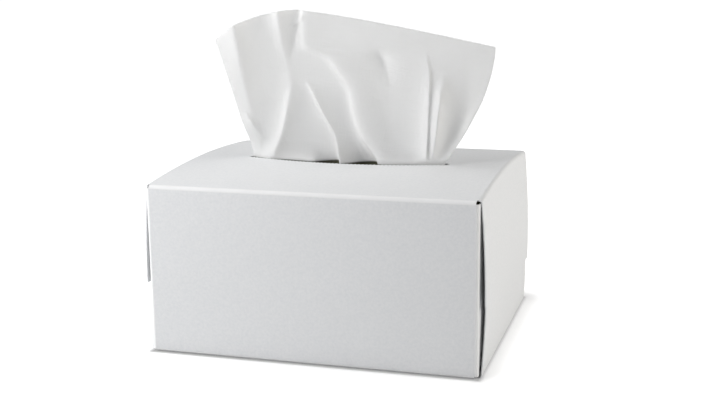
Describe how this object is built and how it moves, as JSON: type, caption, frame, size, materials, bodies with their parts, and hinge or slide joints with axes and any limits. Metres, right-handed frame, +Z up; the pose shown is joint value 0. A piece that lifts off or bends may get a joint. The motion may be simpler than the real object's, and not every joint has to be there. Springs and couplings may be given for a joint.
{
  "type": "box of lens cleaning tissues",
  "caption": "Low rectangular board carton of interfolded lens cleaning tissues, with one sheet standing up out of the torn-out slot in its top.",
  "frame": {"origin": "middle of the carton's bottom, on the surface it stands on", "axes": "+X to the right along the long front, +Y from the front to the back, +Z up through the slot"},
  "size_m": [0.145, 0.116, 0.1405],
  "materials": {
    "coated_board": "white clay-coated folding board with a low satin sheen and raw pulp at the cut edges",
    "packed_tissue": "soft white crepe tissue, pressed flat in the pack",
    "lens_tissue": "soft white lint-free tissue, matt and slightly translucent"
  },
  "bodies": {
    "root": {"carton": "coated_board", "tissue_stack": "packed_tissue", "pop_up_tissue": "lens_tissue"}
  },
  "joints": []
}
